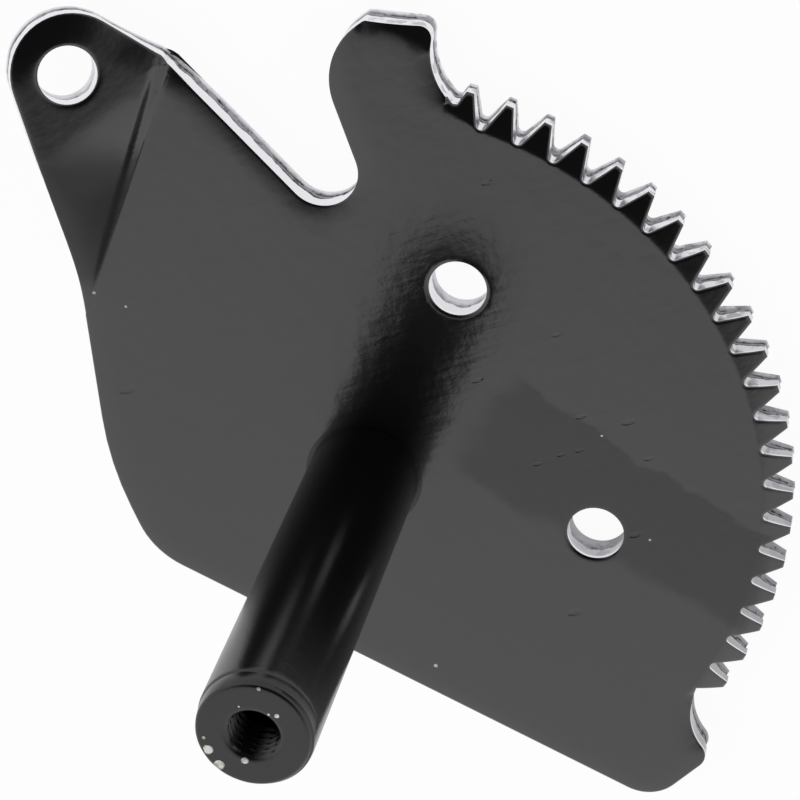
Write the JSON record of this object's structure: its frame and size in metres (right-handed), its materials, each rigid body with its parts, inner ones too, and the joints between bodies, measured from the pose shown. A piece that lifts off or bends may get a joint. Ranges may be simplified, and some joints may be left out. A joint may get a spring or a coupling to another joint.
{
  "type": "sector gear",
  "caption": "Stamped steel sector gear plate with a toothed rim, a bent-up link ear and a pivot shaft with a tapped end, painted gloss black; a steering pinion swings it.",
  "frame": {"origin": "on the shaft's axis, in the plane of the plate's flat back, which it rests on", "axes": "+Z along the shaft to its free end, +X through the middle tooth of the rim"},
  "size_m": [0.1176, 0.1724, 0.0883],
  "materials": {
    "plate_paint": "gloss black paint over stamped steel",
    "shaft_paint": "gloss black paint over turned steel"
  },
  "bodies": {
    "root": {"sector_plate": "plate_paint", "pivot_shaft": "shaft_paint"}
  },
  "joints": []
}
